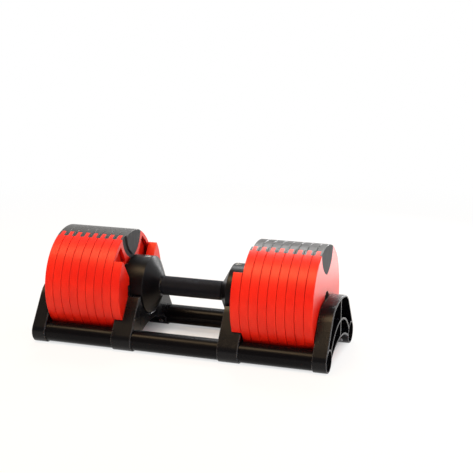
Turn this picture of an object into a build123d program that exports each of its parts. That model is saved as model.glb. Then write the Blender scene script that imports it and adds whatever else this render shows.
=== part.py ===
"""Adjustable dumbbell in its storage cradle: twist handle, two stacks of plates, rails and brackets.

Frame: +X along the handle, +Y to the back, +Z up. The origin lies on the ground, under the middle
of the grip. Every length is in millimetres.
"""
import math
import os

from build123d import *

# Driving dimensions of the plates
PLATE_RADIUS = 86.5
PLATE_PITCH = 14.1
PLATE_GAP = 0.4
FULL_PLATES = 8
STACK_INNER_FACE = 104.7
PLATE_FLOOR_GAP = 2.0
PLATE_RIM_CHAMFER = 0.5
BORE_FIT = 0.8
BORE_CHAMFER = 3.4

# Moulded insert at the top of each plate, with its locating boss
INSERT_HALF_WIDTH = 37.0
INSERT_TIP_HEIGHT = 41.0
INSERT_FLANGE = 3.5
INSERT_WEB_HALF_WIDTH = 25.5
INSERT_WEB_TIP_HEIGHT = 50.0
BOSS_PROUD = 3.2
BOSS_HALF_WIDTH = 26.0
BOSS_TIP_HEIGHT = 47.0
BOSS_BEVEL = 0.9
CHANNEL_CLEARANCE = 0.4
CHANNEL_SIDE_CLEARANCE = 0.6

# Pockets cast into the inward face of each plate
POCKET_DEPTH = 6.5
POCKET_OUTER_RADIUS = 80.0
POCKET_INNER_RADIUS = 49.0
POCKET_START_ANGLE = 31.5
POCKET_END_ANGLE = 68.0
POCKET_CORNER = 1.2

# Short plates that sit round the hubs
SHORT_THICKNESS = 14.4
SHORT_TOP_HEIGHT = 51.5
SHORT_BOTTOM_DEPTH = 40.0
SHORT_THROAT_HEIGHT = 22.0
SHORT_THROAT_ROUND = 12.0
SHORT_HORN_TIP = 1.0
SHORT_WEB = 3.1
SHORT_WEB_TOP_DEPTH = 14.0
SHORT_WEB_HALF_WIDTH = 60.0

# Hubs
HUB_RADIUS = 46.0
HUB_WALL = 3.0
HUB_EDGE = 68.9
HUB_NECK = 52.0
HUB_NECK_WALL = 1.6
HUB_EDGE_ROUND = 1.5
HUB_END_GAP = 0.3
HUB_FIT = 0.3
HUB_FLOOR = 9.0
EAR_REACH = 6.3
EAR_HALF_HEIGHT = 9.0
EAR_FIT = 0.3
COVER_THICKNESS = 3.0
COVER_GAP = 0.3
WINDOW_LENGTH = 9.0
WINDOW_WIDTH = 11.0
WINDOW_OFFSET = 2.8
LENS_THICKNESS = 1.8
LENS_FIT = 0.1

# Cover and plate screws
SCREW_RADIUS = 2.0
SCREW_HEAD_RADIUS = 3.6
SCREW_HEAD = 2.0
SCREW_HEAD_BEVEL = 0.7
SCREW_SOCKET_RADIUS = 1.7
SCREW_SOCKET_DEPTH = 1.2
SCREW_LENGTH = 9.0
SCREW_FIT = 0.1
POST_RADIUS = 5.0
POST_LENGTH = 10.0
POST_INSET = 4.4
POST_ANGLES = (0.0, 90.0, 180.0)
SHORT_SCREW_Y = 26.0

# Grip, scroll sleeve and number dials, which turn together
GRIP_RADIUS = 15.0
GRIP_WALL = 1.9
GRIP_GAP = 0.4
GRIP_END_CHAMFER = 1.4
SLEEVE_WALL = 2.0
SLEEVE_FIT = 0.1
SLEEVE_OVERHANG = 1.5
BUSH_FIT = 0.3
BUSH_WALL = 2.0
BUSH_NECK_FIT = 0.1
DIAL_FIT = 1.0
DIAL_RIM = 4.0
DIAL_WIDTH = 10.0
DIAL_WEB = 3.0
DIAL_HUB_WALL = 2.0
DIAL_OFFSET = 2.6
NOTCH_WIDTH = 7.0
NOTCH_DEPTH = 3.7

# Selector rods: two half rounds side by side, driven by a ball in a helical groove
ROD_FIT = 0.6
ROD_SPLIT = 0.25
ROD_END_SETBACK = 0.7
ROD_END_MARGIN = 2.0
ROD_END_CHAMFER = 2.0
BALL_RADIUS = 1.4
BALL_SUNK = 0.2
BALL_FROM_END = 8.0
GROOVE_FIT = 0.4
GUIDE_FIT = 0.3

# Lock pins, which drop into a dial notch when the handle leaves the cradle
PIN_RADIUS = 3.0
PIN_FIT = 0.2
PIN_FROM_DIAL = 4.5
PIN_TOOTH_GAP = 0.7
PIN_TOOTH_HEIGHT = 4.3
PIN_TOOTH_WIDTH = 5.6
PIN_TOOTH_FIT = 0.4
PIN_SUNK = 0.3

# Cradle rails
RAIL_RADIUS = 16.0
RAIL_WALL = 2.0
RAIL_FIT = 0.1
RAIL_FLOOR_GAP = 1.5
PLATE_RAIL_GAP = 0.3
RAIL_END_RECESS = 4.0
PLUG_LENGTH = 8.0
PLUG_RECESS = 5.0
PLUG_SOCKET_RADIUS = 4.0
PLUG_SOCKET_DEPTH = 4.0
PLUG_CHAMFER = 1.0

# Screws through the bracket feet into the rails
RAIL_SCREW_TURN = 30.0
RAIL_SCREW_SINK = 0.6
RAIL_SCREW_LENGTH = 6.4
RAIL_SCREW_SEAT_FIT = 0.4

# Cradle brackets
FOOT_WALL = 1.9
DOME_SHOULDER_INSET = 27.3
DOME_SHOULDER_HEIGHT = 88.5
DOME_CROWN_RISE = 8.0
DOME_SHOULDER_ROUND = 45.0
DOME_TOP_ROUND = 110.0
CROWN_SHARE = 0.9
BRACKET_BEVEL = 0.9
ARCH_HEIGHT = 31.0
ARCH_RADIUS = 112.0
END_BRACKET_GAP = 0.7
END_BRACKET_WIDTH = 22.5
END_WEB = 4.0
END_WALL = 3.0
RIB_ARCH_HEIGHT = 61.0
RIB_ARCH_RADIUS = 74.0
INNER_BRACKET_FACE = 70.5
INNER_BRACKET_DROP = 8.5
INNER_BRACKET_GAP = 0.4
LEDGE_GAP = 0.3
LEDGE_END_GAP = 0.9
SADDLE_CHAMFER = 2.0

# How far a cut runs past the face that it opens
OVERCUT = 1.0

# How near two points are the same point
POINT_MATCH = 0.001

# Sizes that follow from the ones above
AXIS_HEIGHT = PLATE_RADIUS + PLATE_FLOOR_GAP
PLATE_THICKNESS = PLATE_PITCH - PLATE_GAP
STACK_OUTER_FACE = STACK_INNER_FACE + FULL_PLATES * PLATE_PITCH
RAIL_HEIGHT = RAIL_FLOOR_GAP + RAIL_RADIUS
FOOT_RADIUS = RAIL_RADIUS + RAIL_FIT + FOOT_WALL
RAIL_REACH = PLATE_RADIUS + PLATE_RAIL_GAP + RAIL_RADIUS
RAIL_Y = math.sqrt(RAIL_REACH**2 - (AXIS_HEIGHT - RAIL_HEIGHT) ** 2)
HUB_END = STACK_INNER_FACE - HUB_END_GAP
SHORT_INNER_FACE = HUB_END - SHORT_THICKNESS
HUB_BORE = HUB_RADIUS - HUB_WALL
POST_CIRCLE = HUB_BORE - POST_INSET
DIAL_RADIUS = HUB_BORE - DIAL_FIT
CHANNEL_DEPTH = BOSS_PROUD - PLATE_GAP + CHANNEL_CLEARANCE
WEB_OUTER = HUB_END - BOSS_PROUD - 2 * CHANNEL_CLEARANCE + HUB_END_GAP
WEB_INNER = WEB_OUTER - SHORT_WEB
COVER_OUTER = WEB_INNER - COVER_GAP
COVER_INNER = COVER_OUTER - COVER_THICKNESS
SLEEVE_RADIUS = GRIP_RADIUS - GRIP_WALL - SLEEVE_FIT
SLEEVE_BORE = SLEEVE_RADIUS - SLEEVE_WALL
ROD_RADIUS = SLEEVE_BORE - ROD_FIT
BORE_RADIUS = ROD_RADIUS + BORE_FIT
BUSH_RADIUS = SLEEVE_RADIUS + BUSH_FIT + BUSH_WALL
DIAL_START = HUB_EDGE + DIAL_OFFSET
DIAL_END = DIAL_START + DIAL_WIDTH
SLEEVE_END = DIAL_END + SLEEVE_OVERHANG
ROD_REST_END = STACK_INNER_FACE + PLATE_GAP / 2 - BOSS_PROUD - ROD_END_SETBACK
ROD_TRAVEL = STACK_OUTER_FACE - ROD_END_MARGIN - ROD_REST_END
SETTINGS = FULL_PLATES + 1
TWIST_RANGE = 360.0 * (SETTINGS - 1) / SETTINGS
ROD_LEAD = ROD_TRAVEL * 360.0 / TWIST_RANGE
BALL_START = BALL_FROM_END - SLEEVE_END
END_BRACKET_INNER = STACK_OUTER_FACE + END_BRACKET_GAP
END_BRACKET_OUTER = END_BRACKET_INNER + END_BRACKET_WIDTH
RAIL_END = END_BRACKET_OUTER - RAIL_END_RECESS
PLUG_END = RAIL_END - PLUG_RECESS
PLUG_START = PLUG_END - PLUG_LENGTH
RAIL_SCREW_SEAT = FOOT_RADIUS - RAIL_SCREW_SINK
INNER_BRACKET_BACK = SHORT_INNER_FACE - INNER_BRACKET_GAP
INNER_SCREW_X = (INNER_BRACKET_FACE + INNER_BRACKET_BACK) / 2
END_SCREW_X = (PLUG_START + PLUG_END) / 2
LEDGE_END = STACK_INNER_FACE - LEDGE_END_GAP
DOME_TOP_HEIGHT = DOME_SHOULDER_HEIGHT + DOME_CROWN_RISE
INNER_BRACKET_TOP = DOME_SHOULDER_HEIGHT - INNER_BRACKET_DROP
LEDGE_TOP = AXIS_HEIGHT - SHORT_BOTTOM_DEPTH - LEDGE_GAP
PIN_X = DIAL_END + PIN_FROM_DIAL
PIN_TOOTH_DEPTH = DIAL_RADIUS - DIAL_RIM - PIN_TOOTH_GAP
PIN_TOP_DEPTH = PIN_TOOTH_DEPTH - PIN_TOOTH_HEIGHT


def box(x0, x1, y0, y1, z0, z1):
    """A block between two corners."""
    return Pos((x0 + x1) / 2, (y0 + y1) / 2, (z0 + z1) / 2) * Box(x1 - x0, y1 - y0, z1 - z0)


def rod_x(radius, x0, x1, y=0.0, z=0.0):
    """A round bar along X."""
    return Pos(x0, y, z) * Rot(0, 90, 0) * Cylinder(
        radius, x1 - x0, align=(Align.CENTER, Align.CENTER, Align.MIN)
    )


def tube_x(outer, inner, x0, x1, y=0.0, z=0.0):
    """A round tube along X."""
    return rod_x(outer, x0, x1, y, z) - rod_x(inner, x0 - OVERCUT, x1 + OVERCUT, y, z)


def post_z(radius, x, y, z0, z1):
    """A round bar along Z."""
    return Pos(x, y, z0) * Cylinder(radius, z1 - z0, align=(Align.CENTER, Align.CENTER, Align.MIN))


def slab(outline, x0, x1):
    """A flat outline in Y and Z, given thickness along X."""
    return extrude(Plane.YZ.offset(x0) * outline, x1 - x0, dir=(1, 0, 0))


def lifted(shape):
    """Move a piece from the handle's own axis to its place above the ground."""
    return Pos(0, 0, AXIS_HEIGHT) * shape


def other_side(shape):
    """The same piece on the left side."""
    return mirror(shape, about=Plane.YZ)


def ogive(half_width, tip, top):
    """A pointed arch upside down: its tip at the bottom and its sides upright at the top."""
    left = TangentArc((-half_width, top), (0, tip), tangent=(0, -1))
    right = TangentArc((half_width, top), (0, tip), tangent=(0, -1))
    lid_top = top + half_width
    lid = Polyline((half_width, top), (half_width, lid_top), (-half_width, lid_top), (-half_width, top))
    return make_face([left, right, lid])


def plate_disc():
    """A plain plate before its insert, pockets and channel, from x = 0 to its thickness."""
    disc = rod_x(PLATE_RADIUS, 0, PLATE_THICKNESS)
    disc = chamfer(disc.edges().filter_by(GeomType.CIRCLE), PLATE_RIM_CHAMFER)
    disc -= rod_x(BORE_RADIUS, -OVERCUT, PLATE_THICKNESS + OVERCUT)
    bore_rims = disc.edges().filter_by(GeomType.CIRCLE).filter_by(lambda e: e.radius < 2 * BORE_RADIUS)
    return chamfer(bore_rims, BORE_CHAMFER)


def insert_form():
    """The insert's I section: wide flanges at both faces and a narrower web between them."""
    wide = ogive(INSERT_HALF_WIDTH, INSERT_TIP_HEIGHT, PLATE_RADIUS)
    narrow = ogive(INSERT_WEB_HALF_WIDTH, INSERT_WEB_TIP_HEIGHT, PLATE_RADIUS)
    form = slab(narrow, 0, PLATE_THICKNESS)
    form += slab(wide, 0, INSERT_FLANGE)
    return form + slab(wide, PLATE_THICKNESS - INSERT_FLANGE, PLATE_THICKNESS)


def boss():
    """The bevelled boss that stands proud of the insert and nests in the next plate's channel."""
    foot = PLATE_THICKNESS - PLATE_RIM_CHAMFER
    end = PLATE_THICKNESS + BOSS_PROUD
    form = slab(ogive(BOSS_HALF_WIDTH, BOSS_TIP_HEIGHT, PLATE_RADIUS), foot, end)
    form = chamfer(form.edges().group_by(Axis.X)[-1], BOSS_BEVEL)
    rim = rod_x(PLATE_RADIUS, 0, end)
    return form & chamfer(rim.edges().group_by(Axis.X)[-1], BOSS_BEVEL)


def channel(depth):
    """The upright groove, open at top and bottom, that lets a neighbour's boss slide past."""
    half = BOSS_HALF_WIDTH + CHANNEL_SIDE_CLEARANCE
    return box(-OVERCUT, depth, -half, half, -PLATE_RADIUS, PLATE_RADIUS)


def pockets():
    """Two curved triangular pockets, one each side of the insert's tip."""
    def at(radius, angle):
        turn = math.radians(angle)
        return radius * math.sin(turn), radius * math.cos(turn)

    apex = at(POCKET_OUTER_RADIUS, POCKET_START_ANGLE)
    middle = at(POCKET_OUTER_RADIUS, (POCKET_START_ANGLE + POCKET_END_ANGLE) / 2)
    outer_end = at(POCKET_OUTER_RADIUS, POCKET_END_ANGLE)
    inner_end = at(POCKET_INNER_RADIUS, POCKET_END_ANGLE)
    inner_middle = at(POCKET_INNER_RADIUS, (POCKET_START_ANGLE + POCKET_END_ANGLE) / 2)
    inner_start = at(POCKET_INNER_RADIUS, POCKET_START_ANGLE)
    outline = make_face(
        [
            ThreePointArc(apex, middle, outer_end),
            Line(outer_end, inner_end),
            ThreePointArc(inner_end, inner_middle, inner_start),
            Line(inner_start, apex),
        ]
    )
    outline = fillet(outline.vertices(), POCKET_CORNER)
    pocket = slab(outline, PLATE_THICKNESS - POCKET_DEPTH, PLATE_THICKNESS + OVERCUT)
    return pocket + mirror(pocket, about=Plane.XZ)


def plate_pieces(with_channel, with_boss):
    """One plate as its steel body and its moulded insert."""
    disc = plate_disc()
    form = insert_form()
    body = disc - form
    insert = disc & form
    if with_channel:
        body -= channel(CHANNEL_DEPTH)
        insert -= channel(CHANNEL_DEPTH)
    if with_boss:
        body -= pockets()
        insert += boss()
    return body, insert


def plates():
    """Both stacks, numbered outward from the handle; the outermost faces are plain."""
    usual = plate_pieces(with_channel=True, with_boss=True)
    left_end = plate_pieces(with_channel=False, with_boss=True)
    right_end = plate_pieces(with_channel=True, with_boss=False)
    nodes = {}
    for number in range(1, FULL_PLATES + 1):
        outermost = number == FULL_PLATES
        right_x = STACK_INNER_FACE + (number - 1) * PLATE_PITCH + PLATE_GAP / 2
        left_x = -STACK_INNER_FACE - number * PLATE_PITCH + PLATE_GAP / 2
        sides = (
            ("left", left_x, left_end if outermost else usual),
            ("right", right_x, right_end if outermost else usual),
        )
        for side, x, (body, insert) in sides:
            nodes[f"plate_{side}_{number}"] = Pos(x, 0, AXIS_HEIGHT) * body
            nodes[f"insert_{side}_{number}"] = Pos(x, 0, AXIS_HEIGHT) * insert
    return nodes


def short_plate():
    """The right short plate: two arms round the hub, joined by a low web behind its end."""
    outer = HUB_END
    arms = rod_x(PLATE_RADIUS, SHORT_INNER_FACE, outer)
    arms = chamfer(arms.edges().filter_by(GeomType.CIRCLE), PLATE_RIM_CHAMFER)
    arms &= box(0, 2 * outer, -PLATE_RADIUS, PLATE_RADIUS, -SHORT_BOTTOM_DEPTH, SHORT_TOP_HEIGHT)
    half_throat = HUB_RADIUS + HUB_FIT
    mouth = math.sqrt(PLATE_RADIUS**2 - SHORT_TOP_HEIGHT**2) - SHORT_HORN_TIP
    lead_in = (mouth - half_throat) / (SHORT_TOP_HEIGHT - SHORT_THROAT_HEIGHT)
    throat = Polygon(
        (-half_throat, 0),
        (half_throat, 0),
        (half_throat, SHORT_THROAT_HEIGHT),
        (mouth + OVERCUT * lead_in, SHORT_TOP_HEIGHT + OVERCUT),
        (-mouth - OVERCUT * lead_in, SHORT_TOP_HEIGHT + OVERCUT),
        (-half_throat, SHORT_THROAT_HEIGHT),
        align=None,
    )
    corners = throat.vertices().filter_by(lambda v: abs(v.Y - SHORT_THROAT_HEIGHT) < POINT_MATCH)
    throat = fillet(corners, SHORT_THROAT_ROUND)
    arms -= slab(throat, SHORT_INNER_FACE - OVERCUT, outer + OVERCUT)
    arms -= rod_x(half_throat, SHORT_INNER_FACE - OVERCUT, outer + OVERCUT)
    notch_reach = HUB_RADIUS + EAR_REACH + EAR_FIT
    notch_height = EAR_HALF_HEIGHT + EAR_FIT
    arms -= box(0, outer + OVERCUT, -notch_reach, notch_reach, -notch_height, notch_height)
    half = SHORT_WEB_HALF_WIDTH
    web = box(WEB_INNER, WEB_OUTER, -half, half, -SHORT_BOTTOM_DEPTH, -SHORT_WEB_TOP_DEPTH)
    web &= rod_x(PLATE_RADIUS - PLATE_RIM_CHAMFER, 0, outer)
    for side in (-1, 1):
        web -= flat_screw_x(WEB_OUTER, side * SHORT_SCREW_Y, short_screw_z(), SHORT_WEB + OVERCUT, SCREW_FIT)
    return arms + web


def short_screw_z():
    """Height of the web screws below the handle's axis."""
    return -(SHORT_WEB_TOP_DEPTH + SHORT_BOTTOM_DEPTH) / 2


def post_places():
    """Places of the screw posts round the inside of a hub."""
    turns = [math.radians(angle) for angle in POST_ANGLES]
    return [(POST_CIRCLE * math.cos(turn), POST_CIRCLE * math.sin(turn)) for turn in turns]


def hub_shell():
    """The right hub without its boss channel: cylinder, cone, ears, window and screw posts."""
    neck_bore = BUSH_RADIUS + BUSH_NECK_FIT
    slope = (HUB_RADIUS - neck_bore - HUB_NECK_WALL) / (HUB_EDGE - HUB_NECK)
    floor_x = HUB_NECK + HUB_FLOOR
    floor_radius = neck_bore + HUB_NECK_WALL + slope * HUB_FLOOR - 2 * HUB_WALL
    profile = Polygon(
        (HUB_NECK, neck_bore),
        (HUB_NECK, neck_bore + HUB_NECK_WALL),
        (HUB_EDGE, HUB_RADIUS),
        (HUB_END, HUB_RADIUS),
        (HUB_END, HUB_BORE),
        (HUB_EDGE + DIAL_OFFSET / 2, HUB_BORE),
        (floor_x, floor_radius),
        (floor_x, neck_bore),
        align=None,
    )
    edge = profile.vertices().sort_by_distance(Vector(HUB_EDGE, HUB_RADIUS))[:1]
    shell = revolve(fillet(edge, HUB_EDGE_ROUND), Axis.X)
    ear_reach = HUB_RADIUS + EAR_REACH
    for side in (-1, 1):
        near, far = sorted((side * (HUB_RADIUS - HUB_WALL / 2), side * ear_reach))
        shell += box(SHORT_INNER_FACE + OVERCUT, HUB_END, near, far, -EAR_HALF_HEIGHT, EAR_HALF_HEIGHT)
    for y, z in post_places():
        shell += rod_x(POST_RADIUS, COVER_INNER - POST_LENGTH, COVER_INNER, y, z) & rod_x(
            HUB_RADIUS, 0, HUB_END
        )
        shell -= rod_x(SCREW_RADIUS + SCREW_FIT, COVER_INNER - POST_LENGTH - OVERCUT, HUB_END, y, z)
    window_start = HUB_EDGE + WINDOW_OFFSET
    half = WINDOW_WIDTH / 2
    shell -= box(window_start, window_start + WINDOW_LENGTH, -half, half, 0, HUB_RADIUS + OVERCUT)
    past_hub = HUB_RADIUS + OVERCUT
    shell -= post_z(PIN_RADIUS + PIN_FIT, PIN_X, 0, -past_hub, -HUB_BORE + OVERCUT)
    web_room_top = -SHORT_WEB_TOP_DEPTH + COVER_GAP
    return shell - box(COVER_OUTER, HUB_END + OVERCUT, -past_hub, past_hub, -past_hub, web_room_top)


def boss_groove():
    """The room that the left hub and short plate leave for the first left plate's boss."""
    return Pos(-HUB_END, 0, 0) * channel(BOSS_PROUD + CHANNEL_CLEARANCE)


def window_lens():
    """The clear lens that fills the right hub's window."""
    start = HUB_EDGE + WINDOW_OFFSET + LENS_FIT
    half = WINDOW_WIDTH / 2 - LENS_FIT
    blank = box(start, start + WINDOW_LENGTH - 2 * LENS_FIT, -half, half, 0, HUB_RADIUS)
    return blank & tube_x(HUB_RADIUS, HUB_RADIUS - LENS_THICKNESS, 0, HUB_END)


def end_cover():
    """The right hub's cover, with a half round hole that keeps its rod from turning."""
    cover = rod_x(HUB_BORE - SCREW_FIT, COVER_INNER, COVER_OUTER)
    guide = rod_x(ROD_RADIUS + GUIDE_FIT, 0, HUB_END)
    cover -= guide & box(0, HUB_END, 0, HUB_RADIUS, -HUB_RADIUS, HUB_RADIUS)
    for y, z in post_places():
        cover -= rod_x(SCREW_RADIUS + SCREW_FIT, 0, HUB_END, y, z)
    for side in (-1, 1):
        cover -= rod_x(SCREW_RADIUS + SCREW_FIT, 0, HUB_END, side * SHORT_SCREW_Y, short_screw_z())
    return cover


def hex_socket():
    """The six sided hole for a key, sunk below z = 0."""
    return Pos(0, 0, -SCREW_SOCKET_DEPTH) * extrude(
        RegularPolygon(SCREW_SOCKET_RADIUS, 6), SCREW_SOCKET_DEPTH + OVERCUT
    )


def screw_x(x, y, z, length):
    """A pan head screw whose head sits outward on the plane at x."""
    head = rod_x(SCREW_HEAD_RADIUS, x, x + SCREW_HEAD, y, z)
    head = chamfer(head.edges().group_by(Axis.X)[-1], SCREW_HEAD_BEVEL)
    head -= Pos(x + SCREW_HEAD, y, z) * Rot(0, 90, 0) * hex_socket()
    return head + rod_x(SCREW_RADIUS, x - length, x, y, z)


def flat_screw_x(x, y, z, length, spare=0.0):
    """A countersunk screw with its head flush with the plane at x, or a hole for one with room to spare."""
    cone = Cone(
        SCREW_RADIUS + spare,
        SCREW_HEAD_RADIUS + spare,
        SCREW_HEAD,
        align=(Align.CENTER, Align.CENTER, Align.MIN),
    )
    head = Pos(x - SCREW_HEAD, y, z) * Rot(0, 90, 0) * cone
    return head + rod_x(SCREW_RADIUS + spare, x - length, x - SCREW_HEAD, y, z)


def cover_screws():
    """Screws that hold both end covers to the hubs."""
    right = [screw_x(COVER_OUTER, y, z, SCREW_LENGTH) for y, z in post_places()]
    return right + [other_side(screw) for screw in right]


def short_plate_screws():
    """Screws that hold the short plates' webs to the end covers."""
    length = WEB_OUTER - COVER_INNER
    right = []
    for side in (-1, 1):
        screw = flat_screw_x(WEB_OUTER, side * SHORT_SCREW_Y, short_screw_z(), length)
        socket = Pos(WEB_OUTER, side * SHORT_SCREW_Y, short_screw_z()) * Rot(0, 90, 0) * hex_socket()
        right.append(screw - socket)
    return right + [other_side(screw) for screw in right]


def grip_sleeve():
    """The gripped tube with its ends bevelled."""
    end = HUB_NECK - GRIP_GAP
    sleeve = rod_x(GRIP_RADIUS, -end, end)
    sleeve = chamfer(sleeve.edges().filter_by(GeomType.CIRCLE), GRIP_END_CHAMFER)
    return sleeve - rod_x(GRIP_RADIUS - GRIP_WALL, -HUB_NECK, HUB_NECK)


def ball_circle():
    """Radius at which the follower balls run."""
    return ROD_RADIUS + BALL_SUNK


def helical_groove():
    """The path cleared for the right rod's ball, with a little room before its first and last place."""
    runout = 2 * (BALL_RADIUS + GROOVE_FIT)
    path = Helix(ROD_LEAD, ROD_TRAVEL + 2 * runout, ball_circle(), lefthand=True)
    mouth = Plane(origin=path @ 0, z_dir=path % 0) * Circle(BALL_RADIUS + GROOVE_FIT)
    along_x = Rot(0, 90, 0) * sweep(mouth, path=path, is_frenet=True)
    first_turn = 90.0 + 360.0 * runout / ROD_LEAD
    return Rot(first_turn, 0, 0) * Pos(BALL_START - runout, 0, 0) * along_x


def scroll_sleeve():
    """The turning sleeve with one blind helical groove for each rod's ball, of opposite hands."""
    sleeve = tube_x(SLEEVE_RADIUS, SLEEVE_BORE, -SLEEVE_END, SLEEVE_END)
    right_groove = helical_groove()
    return sleeve - right_groove - Rot(180, 0, 0) * other_side(right_groove)


def number_dial():
    """The right number dial: a wheel with a notched rim under the hub's window."""
    hub_radius = SLEEVE_RADIUS + SLEEVE_FIT + DIAL_HUB_WALL
    dial = tube_x(DIAL_RADIUS, DIAL_RADIUS - DIAL_RIM, DIAL_START, DIAL_END)
    dial += tube_x(DIAL_RADIUS, SLEEVE_RADIUS + SLEEVE_FIT, DIAL_START, DIAL_START + DIAL_WEB)
    dial += tube_x(hub_radius, SLEEVE_RADIUS + SLEEVE_FIT, DIAL_START, DIAL_END)
    half = NOTCH_WIDTH / 2
    rim_bottom = -DIAL_RADIUS - OVERCUT
    rim_top = -DIAL_RADIUS + DIAL_RIM + OVERCUT
    notch = box(DIAL_END - NOTCH_DEPTH, DIAL_END + OVERCUT, -half, half, rim_bottom, rim_top)
    for setting in range(SETTINGS):
        dial -= Rot(setting * 360.0 / SETTINGS, 0, 0) * notch
    return dial


def grip_bush():
    """The right plain bush between the scroll sleeve and the hub's neck."""
    return tube_x(BUSH_RADIUS, SLEEVE_RADIUS + BUSH_FIT, HUB_NECK + BUSH_FIT, HUB_NECK + HUB_FLOOR)


def selector_rod():
    """The right rod: the half round toward the back, with its follower ball near the inner end."""
    inner_end = -SLEEVE_END
    rod = rod_x(ROD_RADIUS, inner_end, ROD_REST_END)
    rod = chamfer(rod.edges().filter_by(GeomType.CIRCLE), ROD_END_CHAMFER)
    rod &= box(inner_end, ROD_REST_END, ROD_SPLIT, 2 * ROD_RADIUS, -ROD_RADIUS, ROD_RADIUS)
    return rod + Pos(BALL_START, ball_circle(), 0) * Sphere(BALL_RADIUS)


def lock_pin():
    """The right lock pin: a round shank through the hub's underside with a tooth beside the dial."""
    bottom = -HUB_RADIUS + PIN_SUNK
    pin = post_z(PIN_RADIUS, PIN_X, 0, bottom, -PIN_TOP_DEPTH)
    half = PIN_TOOTH_WIDTH / 2
    tooth_start = DIAL_END - NOTCH_DEPTH + PIN_TOOTH_FIT
    return pin + box(tooth_start, PIN_X, -half, half, -PIN_TOOTH_DEPTH, -PIN_TOP_DEPTH)


def handle_pieces():
    """Everything that lifts out of the cradle with the handle."""
    right_rod = selector_rod()
    return {
        "hub_left": lifted(other_side(hub_shell()) - boss_groove()),
        "hub_right": lifted(hub_shell()),
        "end_cover_left": lifted(Rot(0, 0, 180) * end_cover()),
        "end_cover_right": lifted(end_cover()),
        "cover_screws": [lifted(screw) for screw in cover_screws()],
        "short_plate_left": lifted(other_side(short_plate()) - boss_groove()),
        "short_plate_right": lifted(short_plate()),
        "short_plate_screws": [lifted(screw) for screw in short_plate_screws()],
        "window_lenses": [lifted(window_lens()), lifted(other_side(window_lens()))],
        "grip_bushes": [lifted(grip_bush()), lifted(other_side(grip_bush()))],
        "grip_sleeve": lifted(grip_sleeve()),
        "scroll_sleeve": lifted(scroll_sleeve()),
        "number_dial_left": lifted(other_side(number_dial())),
        "number_dial_right": lifted(number_dial()),
        "selector_rod_left": lifted(Rot(0, 0, 180) * right_rod),
        "selector_rod_right": lifted(right_rod),
        "lock_pin_left": lifted(other_side(lock_pin())),
        "lock_pin_right": lifted(lock_pin()),
    }


def bracket_outline():
    """The brackets' outline in Y and Z: round feet, sloping sides, a crowned top and an arch below."""
    shoulder_y = RAIL_Y - DOME_SHOULDER_INSET
    shoulder_rise = DOME_SHOULDER_HEIGHT - RAIL_HEIGHT
    shoulder_reach = math.hypot(DOME_SHOULDER_INSET, shoulder_rise)
    shoulder_turn = math.atan2(shoulder_rise, -DOME_SHOULDER_INSET)
    side_turn = shoulder_turn - math.acos(FOOT_RADIUS / shoulder_reach)
    arch_drop = RAIL_HEIGHT - ARCH_HEIGHT + ARCH_RADIUS
    arch_reach = math.hypot(RAIL_Y, arch_drop)
    arch_turn = math.atan2(arch_drop, RAIL_Y) - math.pi
    crossing = (FOOT_RADIUS**2 + arch_reach**2 - ARCH_RADIUS**2) / (2 * FOOT_RADIUS * arch_reach)
    inner_turn = arch_turn - math.acos(crossing)

    def on_foot(turn):
        return RAIL_Y + FOOT_RADIUS * math.cos(turn), RAIL_HEIGHT + FOOT_RADIUS * math.sin(turn)

    inner = on_foot(inner_turn)
    under = on_foot((inner_turn + side_turn) / 2)
    side = on_foot(side_turn)
    shoulder = (shoulder_y, DOME_SHOULDER_HEIGHT)
    top = (0, DOME_TOP_HEIGHT)
    right = [ThreePointArc(inner, under, side), Line(side, shoulder), Line(shoulder, top)]
    left = [mirror(edge, about=Plane.YZ) for edge in right]
    arch = ThreePointArc((-inner[0], inner[1]), (0, ARCH_HEIGHT), inner)
    outline = make_face([*right, *left, arch])
    shoulders = outline.vertices().filter_by(lambda v: abs(v.Y - DOME_SHOULDER_HEIGHT) < POINT_MATCH)
    outline = fillet(shoulders, DOME_SHOULDER_ROUND)
    slope = outline.edges().filter_by(GeomType.LINE).sort_by(Axis.Y)[-1].length
    widest = CROWN_SHARE * slope * shoulder_y / DOME_CROWN_RISE
    return fillet(outline.vertices().sort_by(Axis.Y)[-1:], min(DOME_TOP_ROUND, widest))


def feet(radius):
    """Two round outlines about the rails."""
    return Pos(-RAIL_Y, RAIL_HEIGHT) * Circle(radius) + Pos(RAIL_Y, RAIL_HEIGHT) * Circle(radius)


def rail_bores():
    """The two bores through every bracket for the rails."""
    return slab(feet(RAIL_RADIUS + RAIL_FIT), 0, 2 * END_BRACKET_OUTER)


def at_rail_screw(x, side, shape):
    """Move a shape made along Z from a rail's middle to a screw's place, aimed inward and down."""
    aim = Rot(side * (90.0 + RAIL_SCREW_TURN), 0, 0)
    return Pos(x, side * RAIL_Y, RAIL_HEIGHT) * aim * shape


def rail_screw_room(x, side):
    """The flat seat and the bore for one rail screw."""
    seat = post_z(
        SCREW_HEAD_RADIUS + RAIL_SCREW_SEAT_FIT, 0, 0, RAIL_SCREW_SEAT, RAIL_SCREW_SEAT + 2 * SCREW_HEAD
    )
    bore_end = RAIL_SCREW_SEAT - RAIL_SCREW_LENGTH - OVERCUT
    return at_rail_screw(x, side, seat + post_z(SCREW_RADIUS + SCREW_FIT, 0, 0, bore_end, RAIL_SCREW_SEAT))


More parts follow.
